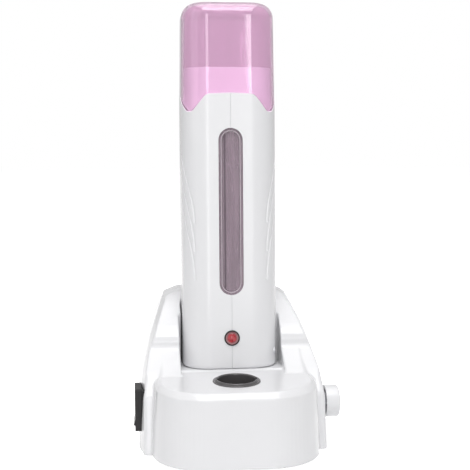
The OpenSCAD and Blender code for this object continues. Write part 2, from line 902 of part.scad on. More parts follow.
// Screw posts for the base cover, each with a rib to the side wall
module dock_posts() {
    for (p = post_xy) translate([p[0], p[1], foot_gap + cover_t]) {
        cylinder(d = post_d, h = p[1] > 0 ? rear_post_h : dock_top);
        translate([p[0] > 0 ? 0 : -post_rib_l, -post_rib/2, 0])
            cube([post_rib_l, post_rib, rear_post_h - 4]);
    }
}

// Flat seats sunk in the side walls for the switch's frame and the regulator's nut
module side_seats() {
    along_x(-80, -switch_seat_x, -switch_y, switch_z)
        plan(switch_w + 2*fit, switch_h + 2*fit, 1 + fit);
    along_x(knob_wall_x - 0.4, 80, -knob_y, knob_z) circle(d = nut_af + 4);
}

module dock_housing() {
    color(white) place() difference() {
        union() {
            difference() {
                dock_form(0);
                dock_form(dock_wall);
            }
            intersection() {
                union() {
                    pocket(dock_wall, dock_wall);
                    dock_posts();
                }
                dock_form(1);
            }
        }
        pocket(0, 0);
        for (p = post_xy) translate([p[0], p[1], 0])
            cylinder(d = base_screw_d - screw_bite, h = 20);
        translate([0, -well_y, 20]) cylinder(d = well_bore + 2*well_wall + 2*fit, h = 40);
        side_seats();
        along_x(-80, -side_wall_x + 8, -switch_y, switch_z)
            square([switch_body_w + 2*fit, switch_body_h + 2*fit], center = true);
        along_x(knob_wall_x - 8, 80, -knob_y, knob_z) circle(d = bushing_d + 2*fit);
        along_y(dock_back - 8, 80, 0, inlet_z) plan(inlet_w + 2*fit, inlet_h + 2*fit, 3);
        translate([0, 0, seat_z]) rotate([-lean, 0, 0])
            block(nose_w + 2*fit, nose_d + 2*fit, 2, -10, 10);
    }
}

module base_outline(inset) {
    front = -arm_y(foot_gap + cover_t);
    half = dock_half_w - inset;
    intersection() {
        translate([0, (dock_back - front)/2]) plan(2*half, dock_back + front - 2*inset, arm_round);
        polygon([for (s = [1, -1], p = s > 0 ? arm_plan(0) : [for (i = [2:-1:0]) arm_plan(0)[i]])
            [s*(half - p[0]), p[1] + (p[1] < 0 ? inset : -inset)]]);
    }
    intersection() {
        translate([0, -20]) plan(2*(apron_half_w - inset), 2*(apron_front - inset) - 40,
            apron_r - inset);
        translate([-100, -100]) square([200, 100]);
    }
}

module base_cover() {
    color(white) place() difference() {
        union() {
            translate([0, 0, foot_gap]) linear_extrude(cover_t)
                base_outline(dock_wall + cover_gap + cover_play);
            for (p = board_hole_xy) translate([p[0], p[1], foot_gap + cover_t - eps])
                cylinder(d = board_post_d, h = board_z - foot_gap - cover_t + eps);
        }
        for (p = post_xy) translate([p[0], p[1], 0]) {
            cylinder(d = base_screw_d + 0.4, h = 10);
            cylinder(d = base_head_d + 0.8, h = foot_gap + base_head_h + 0.2);
        }
        for (p = foot_xy) translate([p[0], p[1], 0])
            cylinder(d = foot_d + 2*fit, h = foot_gap + foot_pocket);
        for (i = [0:vent_count - 1])
            translate([(i - (vent_count - 1)/2)*vent_pitch - vent_w/2, -vent_l/2, 0])
                cube([vent_w, vent_l, 10]);
        for (p = board_hole_xy) translate([p[0], p[1], foot_gap + 1])
            cylinder(d = board_screw_d, h = 20);
    }
}

module base_feet() {
    color("#3a3a3c") place() for (p = foot_xy) translate([p[0], p[1], 0]) rotate_extrude()
        difference() {
            square([foot_d/2, foot_t]);
            translate([foot_d/2, 0]) rotate(45) square(sqrt(2)*foot_chamfer, center = true);
        }
}

module base_screws() {
    color(metal) place() for (p = post_xy) translate([p[0], p[1], foot_gap + 0.2]) difference() {
        union() {
            cylinder(d = base_head_d, h = base_head_h);
            cylinder(d = base_screw_d - screw_bite, h = base_screw_l + base_head_h);
        }
        translate([0, 0, -1]) linear_extrude(1.6) cross_recess(base_head_d);
    }
}

// ---- front well ----------------------------------------------------------

module well_liner() {
    color(black) place() translate([0, -well_y, 0]) difference() {
        union() {
            translate([0, 0, well_top - well_depth - well_wall])
                cylinder(d = well_bore + 2*well_wall, h = well_depth + well_wall - 1);
            rotate_extrude() translate([0, apron_top]) polygon([[0, 0], [well_flange/2, 0],
                [well_flange/2, 0.4], [well_flange/2 - 0.6, 0.9], [lip_d/2 + 0.4, 1.2],
                [lip_d/2, 1.6], [0, 1.6]]);
        }
        translate([0, 0, well_top - well_depth]) cylinder(d = well_bore, h = well_depth + 1);
        translate([-well_bore/2 - key_deep, -key_w/2, well_top - key_l])
            cube([well_bore + 2*key_deep, key_w, key_l + 1]);
    }
}

// ---- switch --------------------------------------------------------------

module switch_body() {
    color(black) place() difference() {
        union() {
            along_x(-side_wall_x - switch_proud, -switch_seat_x, -switch_y, switch_z)
                plan(switch_w, switch_h, 1);
            along_x(-switch_seat_x - 1, -side_wall_x + switch_deep, -switch_y, switch_z)
                square([switch_body_w, switch_body_h], center = true);
        }
        along_x(-side_wall_x - switch_proud - 1, -side_wall_x + switch_deep - 2, -switch_y, switch_z)
            square([switch_mouth_w, switch_mouth_h], center = true);
        translate([-pivot_x, -switch_y, switch_z]) rotate([90, 0, 0])
            cylinder(d = rocker_pin_d + 2*pin_gap, h = pin_l + 0.4, center = true);
    }
}

// Rocker: two faces that meet in a shallow valley, on a round pivot
module switch_rocker() {
    color("#1d1c1e") place() translate([-pivot_x, -switch_y, switch_z])
        rotate([0, switch_swing/2, 0]) {
            rotate([90, 0, 0]) linear_extrude(rocker_w, center = true) intersection() {
                circle(rocker_r);
                polygon([[3, -3.5], [3, 3.5], [-0.4, rocker_r + 1], [-rocker_crown - 1.4, rocker_r + 1],
                    [-rocker_crown, 0], [-rocker_crown - 1.4, -rocker_r - 1], [-0.4, -rocker_r - 1]]);
            }
            rotate([90, 0, 0]) cylinder(d = rocker_pin_d, h = pin_l, center = true);
        }
}

module switch_terminals() {
    color(brass) place() for (i = [-1:1])
        translate([-side_wall_x + switch_deep, -switch_y - tab_w/2,
            switch_z + i*terminal_pitch - tab_t/2]) cube([terminal_l, tab_w, tab_t]);
}

// ---- knob and regulator --------------------------------------------------

module knob() {
    color(white) place() translate([knob_x0, -knob_y, knob_z]) rotate([0, 90, 0]) difference() {
        rotate_extrude() difference() {
            square([knob_d/2, knob_l]);
            translate([knob_d/2 - knob_edge, knob_l - knob_edge]) difference() {
                square(2*knob_edge);
                circle(knob_edge);
            }
        }
        translate([0, 0, -1]) cylinder(d = nut_af + 4, h = nut_t + 2.4);
        translate([0, 0, -1]) cylinder(d = shaft_d, h = knob_l - 1);
        translate([0, pointer_l/2 + knob_edge - knob_d/2, knob_l])
            cube([pointer_w, pointer_l, 1], center = true);
    }
}

module knob_shaft() {
    color(metal) place() along_x(shaft_x0, knob_x1 - 2, -knob_y, knob_z)
        circle(d = shaft_d);
}

module knob_nut() {
    color(metal) place() along_x(knob_wall_x, knob_wall_x + nut_t, -knob_y, knob_z) difference() {
        circle(d = nut_af/cos(30), $fn = 6);
        circle(d = bushing_d);
    }
}

module regulator_body() {
    color("#3d4650") place() difference() {
        union() {
            along_x(regulator_x1 - regulator_l, regulator_x1, -knob_y, knob_z)
                circle(d = regulator_d);
            along_x(regulator_x1 - 0.2, knob_wall_x + nut_t, -knob_y, knob_z)
                circle(d = bushing_d);
        }
        along_x(shaft_x0, 80, -knob_y, knob_z) circle(d = shaft_d + 2*shaft_gap);
    }
}

module regulator_terminals() {
    color(brass) place() for (i = [-1:1])
        translate([regulator_x1 - regulator_l - tab_l, i*terminal_pitch - knob_y - tab_w/4,
            knob_z - 4]) cube([tab_l, tab_w/2, tab_t]);
}

// ---- dock plug, inlet and electronics ------------------------------------

module in_seat() {
    place() translate([0, 0, seat_z]) rotate([-lean, 0, 0]) children();
}

module dock_plug() {
    color(black) in_seat() difference() {
        union() {
            block(nose_w, nose_d, 2, -dock_wall - plug_body, nose_rise - 0.5);
            block(nose_w + 2*plug_over, nose_d + 2*plug_over, 2, -dock_wall - plug_body - plug_flange,
                -dock_wall);
        }
        for (x = [-1, 1]) translate([x*pin_pitch/2, 0, -dock_wall - pin_root])
            cylinder(d = pin_d, h = dock_wall + pin_root + pin_rise);
    }
}

module contact_pins() {
    color(brass) in_seat() for (x = [-1, 1]) translate([x*pin_pitch/2, 0, 0]) {
        translate([0, 0, -dock_wall - pin_root])
            cylinder(d = pin_d, h = dock_wall + pin_root + pin_rise - pin_tip);
        translate([0, 0, pin_rise - pin_tip]) cylinder(d1 = pin_d, d2 = pin_d - 1.6*pin_tip, h = pin_tip);
    }
}

module mains_inlet() {
    color(black) place() difference() {
        union() {
            along_y(dock_back - inlet_deep, dock_back + 0.1, 0, inlet_z) plan(inlet_w, inlet_h, 3);
            along_y(dock_back, dock_back + inlet_lip, 0, inlet_z) plan(inlet_w + 2*inlet_rim,
                inlet_h + 2*inlet_rim, 3 + inlet_rim);
        }
        along_y(dock_back - inlet_deep + inlet_back, 80, 0, inlet_z)
            for (x = [-1, 1]) translate([x*inlet_pitch/2, 0]) circle(d = inlet_bore_d);
        along_y(0, dock_back, 0, inlet_z)
            for (x = [-1, 1]) translate([x*inlet_pitch/2, 0]) circle(d = inlet_pin_d);
    }
}

module inlet_pins() {
    color(metal) place() for (x = [-1, 1])
        along_y(dock_back - inlet_deep - 6, dock_back - 3, x*inlet_pitch/2, inlet_z)
            circle(d = inlet_pin_d);
}

module control_board() {
    color(green) place() difference() {
        translate([-board_x, board_y0, board_z]) cube([2*board_x, board_y1 - board_y0, board_t]);
        for (p = board_hole_xy) translate([p[0], p[1], 0]) cylinder(d = board_screw_d + 0.6, h = 20);
    }
}

module board_screws() {
    color(metal) place() for (p = board_hole_xy) translate([p[0], p[1], board_top]) difference() {
        union() {
            translate([0, 0, -board_t - board_screw_l])
                cylinder(d = board_screw_d, h = board_t + board_screw_l);
            cylinder(d = board_head_d, h = board_head_h);
        }
        translate([0, 0, board_head_h/2]) linear_extrude(2) cross_recess(board_head_d);
    }
}

// Puts a component on the board at a place in the dock's own plan
module on_board(at) {
    place() translate([at[0], at[1], board_top]) children();
}

module board_relay() {
    color("#2f5f9e") on_board(relay_at) cube(relay_size);
}

module board_capacitor() {
    color("#23252c") on_board(capacitor_at) rotate_extrude() difference() {
        square([capacitor_d/2, capacitor_h]);
        translate([capacitor_d/2, capacitor_h - 2.4]) circle(0.5);
    }
}

module board_fuse() {
    color("#bfa46a") on_board(board_fuse_at) {
        translate([0, 0, fuse_clip[2] + board_fuse_d/2 - 0.1]) rotate([0, 90, 0])
            cylinder(d = board_fuse_d, h = board_fuse_l);
        for (x = [0.6, board_fuse_l - fuse_clip[0] - 0.6]) translate([x, -fuse_clip[1]/2, 0])
            cube(fuse_clip);
    }
}

module board_terminals() {
    color("#3f7f4f") on_board(block_at) difference() {
        cube(block_size);
        for (i = [-1:1]) translate([block_size[0]/2, block_size[1]/2 + i*block_pitch, 4])
            cylinder(d = 4, h = block_size[2]);
    }
}

module insulation_pad() {
    color("#d7d9dc") in_hand()
        translate([-plate_w/2 - clip_t, sleeve_d/2 + plate_t + clip_t, plate_z0 - pad_over])
            cube([plate_w + 2*clip_t, pad_t, plate_z1 - plate_z0 + 2*pad_over]);
}

// ---- what is drawn -------------------------------------------------------

shell_left();
shell_right();
shell_screws();
view_window();
chamber_sleeve();
chamber_floor();
chamber_gasket();
heater_plate();
heater_clip();
thermal_fuse();
thermostat_disc();
lamp_ring();
lamp_lens();
lamp_bulb();
lamp_board();
dock_socket();
socket_contacts();
cap();
dock_housing();
base_cover();
base_feet();
base_screws();
well_liner();
switch_body();
switch_rocker();
switch_terminals();
knob();
knob_shaft();
knob_nut();
regulator_body();
regulator_terminals();
dock_plug();
contact_pins();
mains_inlet();
inlet_pins();
control_board();
board_screws();
board_relay();
board_capacitor();
board_fuse();
board_terminals();
insulation_pad();
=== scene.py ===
"""Looks of a roll on wax heater: handset, clear cap and mains dock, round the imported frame."""
import json
import math

import bmesh
import bpy
from mathutils import Matrix, Vector


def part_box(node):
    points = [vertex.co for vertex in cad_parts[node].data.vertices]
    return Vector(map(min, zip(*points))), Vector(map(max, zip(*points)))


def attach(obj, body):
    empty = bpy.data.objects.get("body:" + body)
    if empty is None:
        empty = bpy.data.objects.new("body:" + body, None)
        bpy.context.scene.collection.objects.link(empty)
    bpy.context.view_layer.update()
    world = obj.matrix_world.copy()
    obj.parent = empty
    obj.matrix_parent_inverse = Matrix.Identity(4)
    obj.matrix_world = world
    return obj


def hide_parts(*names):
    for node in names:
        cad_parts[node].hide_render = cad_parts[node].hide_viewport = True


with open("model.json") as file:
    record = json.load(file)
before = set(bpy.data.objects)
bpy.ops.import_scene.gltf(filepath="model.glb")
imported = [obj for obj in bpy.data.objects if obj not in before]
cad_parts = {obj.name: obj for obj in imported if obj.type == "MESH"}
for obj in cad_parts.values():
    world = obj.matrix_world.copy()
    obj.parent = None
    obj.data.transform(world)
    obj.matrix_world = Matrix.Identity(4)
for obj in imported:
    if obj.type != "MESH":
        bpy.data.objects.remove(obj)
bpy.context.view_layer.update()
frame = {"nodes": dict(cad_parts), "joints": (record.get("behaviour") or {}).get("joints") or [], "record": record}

MM = 0.001
WELD = 1e-6
SMOOTH_ANGLE = math.radians(32)
PLASTIC_IOR = 1.5
CLEAR_IOR = 1.49


# ---- material tools --------------------------------------------------------

def node_adder(tree):
    """A function that adds a node to a tree and sets or links its inputs."""
    def add(kind, inputs=(), **settings):
        node = tree.nodes.new(kind)
        for key, value in settings.items():
            setattr(node, key, value)
        for key, value in dict(inputs).items():
            if isinstance(value, bpy.types.NodeSocket):
                tree.links.new(value, node.inputs[key])
            else:
                node.inputs[key].default_value = value
        return node

    return add


def new_material(name):
    """A node material, its shader and a function that adds nodes to it."""
    material = bpy.data.materials.new(name)
    material.use_nodes = True
    return material, material.node_tree.nodes["Principled BSDF"], node_adder(material.node_tree)


def link(material, source, target):
    """Links two sockets of a material's node tree."""
    material.node_tree.links.new(source, target)


def object_coordinates(add, stretch=(1, 1, 1)):
    """Object coordinates in millimetres, stretched where a grain runs one way."""
    place = add("ShaderNodeTexCoord")
    scale = [s / MM for s in stretch]
    stretched = add("ShaderNodeMapping", {"Vector": place.outputs["Object"], "Scale": scale})
    return stretched.outputs["Vector"]


def noise(add, where, scale, detail=2.0, roughness=0.5):
    """A noise pattern's factor; the scale is in patches to the millimetre."""
    node = add("ShaderNodeTexNoise", {"Vector": where, "Scale": scale, "Detail": detail,
                                      "Roughness": roughness})
    return node.outputs["Fac"]


def shades(add, factor, dark, light, low=0.35, high=0.65):
    """Two close shades of one colour, mixed by a factor."""
    ramp = add("ShaderNodeValToRGB", {"Fac": factor})
    first, last = ramp.color_ramp.elements
    first.position, first.color = low, (*dark, 1)
    last.position, last.color = high, (*light, 1)
    return ramp.outputs["Color"]


def spread(add, factor, low, high):
    """A factor from 0.3 to 0.7 spread over a range of values."""
    node = add("ShaderNodeMapRange", {"Value": factor, "From Min": 0.3, "From Max": 0.7,
                                      "To Min": low, "To Max": high})
    return node.outputs["Result"]


def bumped(add, height, strength, distance):
    """A bump normal; the distance is in millimetres."""
    return add("ShaderNodeBump", {"Height": height, "Strength": strength,
                                  "Distance": distance * MM}).outputs["Normal"]


def toned(colour, factor):
    """A colour made darker or lighter, kept below full white."""
    return tuple(min(1.0, c * factor) for c in colour)


def moulded(name, colour, gloss, grain=0.5, grain_depth=0.02, mottle=0.02, shine=0.5):
    """Moulded plastic: a faint mottle, uneven gloss and the fine grain of the mould."""
    material, shader, add = new_material(name)
    where = object_coordinates(add)
    broad = noise(add, where, 0.06, 3.0)
    fine = noise(add, where, 1 / grain, 2.0)
    link(material, shades(add, broad, toned(colour, 1 - mottle), toned(colour, 1 + mottle)),
         shader.inputs["Base Color"])
    link(material, spread(add, noise(add, where, 0.25, 4.0), gloss * 0.88, gloss * 1.12),
         shader.inputs["Roughness"])
    link(material, bumped(add, fine, 0.3, grain_depth), shader.inputs["Normal"])
    shader.inputs["IOR"].default_value = PLASTIC_IOR
    shader.inputs["Specular IOR Level"].default_value = shine
    return material


def clear(name, colour, roughness=0.02, transmission=1.0, lets_through=None, streaks=0.015):
    """Clear tinted plastic or glass, with flow marks in its tint and a wave in its surface.

    lets_through is the tint with which each face passes the lamps' light."""
    material, shader, add = new_material(name)
    where = object_coordinates(add)
    flow = noise(add, object_coordinates(add, (1, 1, 0.01)), 0.5, 2.0)
    link(material, shades(add, flow, toned(colour, 1 - streaks), toned(colour, 1 + streaks)),
         shader.inputs["Base Color"])
    link(material, spread(add, noise(add, where, 0.3, 3.0), roughness * 0.7, roughness * 1.3),
         shader.inputs["Roughness"])
    link(material, bumped(add, noise(add, where, 0.12, 1.0), 0.15, 0.02), shader.inputs["Normal"])
    shader.inputs["Transmission Weight"].default_value = transmission
    shader.inputs["IOR"].default_value = CLEAR_IOR
    if lets_through:
        path = add("ShaderNodeLightPath")
        open_side = add("ShaderNodeBsdfTransparent", {"Color": (*lets_through, 1)})
        both = add("ShaderNodeMixShader", {0: path.outputs["Is Shadow Ray"], 1: shader.outputs[0],
                                           2: open_side.outputs[0]})
        link(material, both.outputs[0], material.node_tree.nodes["Material Output"].inputs[0])
    return material


def worked_metal(name, colour, roughness, stretch=(1, 1, 1), scale=2.0, depth=0.01):
    """Metal with the fine lines of drawing, rolling or turning."""
    material, shader, add = new_material(name)
    lines = noise(add, object_coordinates(add, stretch), scale, 5.0, 0.6)
    link(material, shades(add, lines, toned(colour, 0.88), toned(colour, 1.08)),
         shader.inputs["Base Color"])
    link(material, spread(add, lines, roughness * 0.75, roughness * 1.3),
         shader.inputs["Roughness"])
    link(material, bumped(add, lines, 0.25, depth), shader.inputs["Normal"])
    shader.inputs["Metallic"].default_value = 1.0
    return material


def rubber(name, colour, roughness=0.75):
    """Dull rubber or silicone with a soft, uneven skin."""
    material, shader, add = new_material(name)
    where = object_coordinates(add)
    grain = noise(add, where, 3.0, 4.0)
    link(material, shades(add, grain, toned(colour, 0.85), toned(colour, 1.12)),
         shader.inputs["Base Color"])
    link(material, spread(add, grain, roughness * 0.9, roughness * 1.1), shader.inputs["Roughness"])
    link(material, bumped(add, grain, 0.5, 0.08), shader.inputs["Normal"])
    return material


def circuit_board(name, mask, track):
    """Green board with a net of copper tracks under its mask."""
    material, shader, add = new_material(name)
    where = object_coordinates(add)
    cells = add("ShaderNodeTexVoronoi", {"Vector": where, "Scale": 0.28},
                feature="DISTANCE_TO_EDGE", distance="CHEBYCHEV")
    ramp = add("ShaderNodeValToRGB", {"Fac": cells.outputs["Distance"]})
    ramp.color_ramp.interpolation = "CONSTANT"
    ramp.color_ramp.elements[0].color = (*track, 1)
    ramp.color_ramp.elements[1].position = 0.12
    ramp.color_ramp.elements[1].color = (*mask, 1)
    link(material, ramp.outputs["Color"], shader.inputs["Base Color"])
    weave = noise(add, where, 2.5, 3.0)
    link(material, spread(add, weave, 0.3, 0.45), shader.inputs["Roughness"])
    link(material, bumped(add, weave, 0.3, 0.03), shader.inputs["Normal"])
    return material


# ---- the object's finishes -------------------------------------------------

WHITE = (0.80, 0.80, 0.815)
INK = (0.014, 0.013, 0.0135)

finish = {
    "white_shell": moulded("glossy_white_shell", WHITE, 0.18, grain=0.9, grain_depth=0.008,
                           mottle=0.006),
    "white_cover": moulded("textured_white_cover", (0.74, 0.74, 0.755), 0.55, grain=0.35,
                           grain_depth=0.06, mottle=0.015),
    "clear_pink": clear("clear_pink_cap", (0.83, 0.63, 0.77), 0.03, transmission=0.88,
                        lets_through=(0.97, 0.87, 0.96)),
    "smoked_clear": clear("smoked_window", (0.52, 0.43, 0.49), 0.07, transmission=0.66,
                          lets_through=(0.8, 0.74, 0.78), streaks=0.06),
    "red_lens": clear("red_lamp_lens", (0.85, 0.10, 0.13), 0.10, transmission=0.6,
                      lets_through=(0.9, 0.4, 0.4)),
    "bulb_glass": clear("lamp_bulb_glass", (0.95, 0.80, 0.74), 0.05,
                        lets_through=(0.95, 0.9, 0.88)),
    "black_plastic": moulded("satin_black", INK, 0.42, grain=0.4, grain_depth=0.03, mottle=0.12,
                             shine=0.3),
    "black_gloss": moulded("gloss_black", (0.014, 0.013, 0.013), 0.25, grain=0.8, mottle=0.1,
                           shine=0.25),
    "bare_aluminium": worked_metal("drawn_aluminium", (0.78, 0.79, 0.80), 0.32, (2.5, 2.5, 0.06)),
    "plated_steel": worked_metal("zinc_plated_steel", (0.66, 0.67, 0.70), 0.3, scale=1.2),
    "contact_brass": worked_metal("turned_brass", (0.76, 0.58, 0.27), 0.24, (0.3, 0.3, 4.0)),
    "grey_rubber": rubber("dark_grey_rubber", (0.045, 0.045, 0.048)),
    "grey_silicone": rubber("grey_silicone", (0.30, 0.31, 0.32), 0.55),
    "ceramic": moulded("cream_ceramic", (0.72, 0.66, 0.55), 0.7, grain=0.25, grain_depth=0.08,
                       mottle=0.06),
    "fuse_body": worked_metal("lacquered_can", (0.52, 0.40, 0.20), 0.35, scale=0.8),
    "green_board": circuit_board("green_board", (0.03, 0.16, 0.07), (0.05, 0.24, 0.10)),
    "blue_case": moulded("blue_relay_case", (0.03, 0.12, 0.32), 0.3, mottle=0.05),
    "grey_case": moulded("grey_regulator_case", (0.06, 0.075, 0.09), 0.45, mottle=0.08),
    "dark_can": moulded("sleeved_can", (0.018, 0.02, 0.03), 0.3, mottle=0.1),
    "terminal_green": moulded("green_terminal_block", (0.05, 0.22, 0.08), 0.45, mottle=0.06),
    "well_plastic": moulded("polished_black_well", (0.095, 0.09, 0.093), 0.16, grain=0.8,
                            mottle=0.08),
    # Paler opaque tone for the raised bead: the bead catches real light, and this tone also paints a highlight,
    # the light arcs round the pane's dish
    "bead_with_painted_highlight": moulded("pane_bead", (0.46, 0.40, 0.44), 0.2, mottle=0.03),
    # Painted shadow: a dark mauve that paints the shadow line down one side of the window
    "painted_window_shadow": moulded("painted_shadow_line", (0.10, 0.072, 0.092), 0.35, mottle=0.06),
    "lamp_collar": moulded("pink_lamp_collar", (0.34, 0.17, 0.18), 0.15, mottle=0.06),
    "foil_sheet": worked_metal("foil_facing", (0.84, 0.85, 0.86), 0.22, scale=0.35, depth=0.12),
}

for row in frame["record"]["subparts"]:
    materials = frame["nodes"][row["node"]].data.materials
    materials.clear()
    materials.append(finish[row["material_slot"]])


# ---- piece tools -----------------------------------------------------------

def node_slot(node):
    """The record's material slot of a CAD node."""
    return next(r["material_slot"] for r in frame["record"]["subparts"] if r["node"] == node)


def node_body(node):
    """The moving or fixed body that a CAD node belongs to."""
    return next(b for b, nodes in frame["record"]["behaviour"]["bodies"].items() if node in nodes)


def set_out(bm, name, node, look=None):
    """Turns a bmesh into a piece that stands for a CAD node, in its slot's finish or in its own."""
    mesh = bpy.data.meshes.new(name)
    bm.to_mesh(mesh)
    bm.free()
    mesh.shade_smooth()
    mesh.set_sharp_from_angle(angle=SMOOTH_ANGLE)
    mesh.materials.append(finish[look or node_slot(node)])
    piece = bpy.data.objects.new(name, mesh)
    bpy.context.scene.collection.objects.link(piece)
    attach(piece, node_body(node))
    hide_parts(node)
    return piece


def merged(node):
    """A CAD node's mesh with its loose triangles joined."""
    bm = bmesh.new()
    bm.from_mesh(frame["nodes"][node].data)
    bmesh.ops.remove_doubles(bm, verts=bm.verts, dist=WELD)
    return bm


def apply_modifiers(piece):
    """Makes a piece's modifiers part of its mesh."""
    graph = bpy.context.evaluated_depsgraph_get()
    mesh = bpy.data.meshes.new_from_object(piece.evaluated_get(graph))
    old = piece.data
    piece.modifiers.clear()
    piece.data = mesh
    bpy.data.meshes.remove(old)


# ---- dock housing ----------------------------------------------------------

HOUSING_VOXEL = 0.62 * MM
HOUSING_FACES = 190000
SOFTEN_FACTOR = 0.5
SOFTEN_PASSES = 2


def build_housing():
    """The dock's moulding, with every edge softened as a moulding's are."""
    piece = set_out(merged("dock_housing"), "housing", "dock_housing")
    remesh = piece.modifiers.new("skin", "REMESH")
    remesh.mode = "VOXEL"
    remesh.voxel_size = HOUSING_VOXEL
    relax = piece.modifiers.new("soften", "SMOOTH")
    relax.factor = SOFTEN_FACTOR
    relax.iterations = SOFTEN_PASSES
    apply_modifiers(piece)
    lean = piece.modifiers.new("fewer", "DECIMATE")
    lean.ratio = min(1.0, HOUSING_FACES / (2 * len(piece.data.polygons)))
    apply_modifiers(piece)
    piece.data.shade_smooth()


build_housing()


# ---- pieces that keep their CAD shape, with their edges broken --------------

FLAT_ANGLE = math.radians(0.6)
EDGE_ANGLE = math.radians(30)
EDGE_SEGMENTS = 2
EDGE_ROUNDS = {
    "shell_left": 0.5 * MM,
    "shell_right": 0.5 * MM,
    "cap": 0.35 * MM,
    "knob": 0.8 * MM,
    "switch_body": 0.4 * MM,
    "switch_rocker": 0.3 * MM,
    "mains_inlet": 0.4 * MM,
    "base_cover": 0.3 * MM,
    "base_feet": 0.3 * MM,
}


def dressed(node, edge):
    """A merged copy of a CAD node whose sharp edges are rounded by a small radius."""
    bm = merged(node)
    bmesh.ops.dissolve_limit(bm, angle_limit=FLAT_ANGLE, verts=bm.verts, edges=bm.edges,
                             delimit={"NORMAL"})
    piece = set_out(bm, f"{node}_moulding", node)
    bevel = piece.modifiers.new("broken_edges", "BEVEL")
    bevel.width = edge
    bevel.segments = EDGE_SEGMENTS
    bevel.limit_method = "ANGLE"
    bevel.angle_limit = EDGE_ANGLE
    bevel.use_clamp_overlap = True
    bevel.miter_outer = "MITER_ARC"
    even = piece.modifiers.new("even_faces", "WEIGHTED_NORMAL")
    even.keep_sharp = True
    even.weight = 100
    apply_modifiers(piece)


for node, edge in EDGE_ROUNDS.items():
    dressed(node, edge)


# ---- view window -----------------------------------------------------------

def handset_lean():
    """How far the handset leans back: the angle of its own sliding axis."""
    axis = next(j["axis"] for j in frame["joints"] if j["child"] == "handset")
    return math.atan2(axis[1], axis[2])


UPRIGHT = Matrix.Rotation(handset_lean(), 4, "X")


def upright_box(node):
    """A node's lowest and highest corners in a frame that is turned with the handset."""
    points = [UPRIGHT @ v.co for v in frame["nodes"][node].data.vertices]
    return tuple(Vector([pick(p[i] for p in points) for i in range(3)]) for pick in (min, max))


PANE_FLANGE = 1.65 * MM
PANE_THICK = 1.7 * MM
PANE_RIM = 1.3 * MM
PANE_SLOPE = 0.8 * MM
PANE_DISH = 0.8 * MM
PANE_EDGE = 0.2 * MM
PANE_SIDES = 48
BEAD_W = 0.45 * MM
BEAD_PROUD = 0.12 * MM
# Painted shadow strip: a dark strip in the pane's face that paints the shadow line down one side of the window
SHADOW_STRIP_AT = -3.7 * MM
SHADOW_STRIP_W = 0.9 * MM
SHADOW_STRIP_PROUD = 0.12 * MM
SHADOW_STRIP_DEEP = 0.7 * MM
SHADOW_STRIP_SHORT = 3.3 * MM
SHADOW_STRIP_EDGE = 0.1 * MM


def obround(bm, centre_x, y, z0, z1, half_w):
    """A flat upright face with round ends."""
    turn = Matrix.Rotation(math.radians(90), 4, "X")
    made = bmesh.ops.create_circle(bm, cap_ends=True, segments=PANE_SIDES, radius=half_w,
                                   matrix=turn)
    for v in made["verts"]:
        v.co = (v.co.x + centre_x, y, v.co.z + (z1 - half_w if v.co.z > 0 else z0 + half_w))
    return made["verts"][0].link_faces[0]


def thickened(bm, face, depth):
    """Pushes a copy of a flat face back along +Y and closes the walls between."""
    grown = bmesh.ops.extrude_face_region(bm, geom=[face])["geom"]
    back = [v for v in grown if isinstance(v, bmesh.types.BMVert)]
    bmesh.ops.translate(bm, verts=back, vec=(0, depth, 0))
    bmesh.ops.recalc_face_normals(bm, faces=bm.faces)


def build_window():
    """Smoked pane, dished inside a flat rim, with a flange behind the wall."""
    low, high = upright_box("view_window")
    middle = (low.x + high.x) / 2
    half_w = (high.x - low.x) / 2
    z0, z1 = low.z + PANE_FLANGE, high.z - PANE_FLANGE
    bm = bmesh.new()
    front = obround(bm, middle, low.y, z0, z1, half_w - PANE_FLANGE)
    thickened(bm, front, PANE_THICK)
    front = next(f for f in bm.faces
                 if len(f.verts) == PANE_SIDES and f.calc_center_median().y < low.y + WELD)
    bmesh.ops.inset_region(bm, faces=[front], thickness=PANE_RIM, use_even_offset=True)
    bmesh.ops.inset_region(bm, faces=[front], thickness=PANE_SLOPE, depth=-PANE_DISH,
                           use_even_offset=True)
    thickened(bm, obround(bm, middle, low.y + PANE_THICK, low.z, high.z, half_w),
              high.y - low.y - PANE_THICK)
    bmesh.ops.transform(bm, matrix=UPRIGHT.inverted(), verts=bm.verts)
    piece = set_out(bm, "smoked_pane", "view_window")
    bevel = piece.modifiers.new("broken_edges", "BEVEL")
    bevel.width = PANE_EDGE
    bevel.segments = EDGE_SEGMENTS
    bevel.limit_method = "ANGLE"
    apply_modifiers(piece)


def build_pane_bead():
    """Fine raised bead round the pane's dish. It catches light, and its paler tone also paints the light arcs
    round the dish.
    """
    low, high = upright_box("view_window")
    inset = PANE_FLANGE + PANE_RIM
    bm = bmesh.new()
    face = obround(bm, (low.x + high.x) / 2, low.y - BEAD_PROUD, low.z + inset, high.z - inset,
                   (high.x - low.x) / 2 - inset)
    bmesh.ops.inset_region(bm, faces=[face], thickness=BEAD_W, use_boundary=True,
                           use_even_offset=True)
    bmesh.ops.delete(bm, geom=[face], context="FACES")
    grown = bmesh.ops.extrude_face_region(bm, geom=bm.faces[:])["geom"]
    back = [v for v in grown if isinstance(v, bmesh.types.BMVert)]
    bmesh.ops.translate(bm, verts=back, vec=(0, PANE_DISH, 0))
    bmesh.ops.recalc_face_normals(bm, faces=bm.faces)
    bmesh.ops.transform(bm, matrix=UPRIGHT.inverted(), verts=bm.verts)
    set_out(bm, "pane_bead", "view_window", "bead_with_painted_highlight")


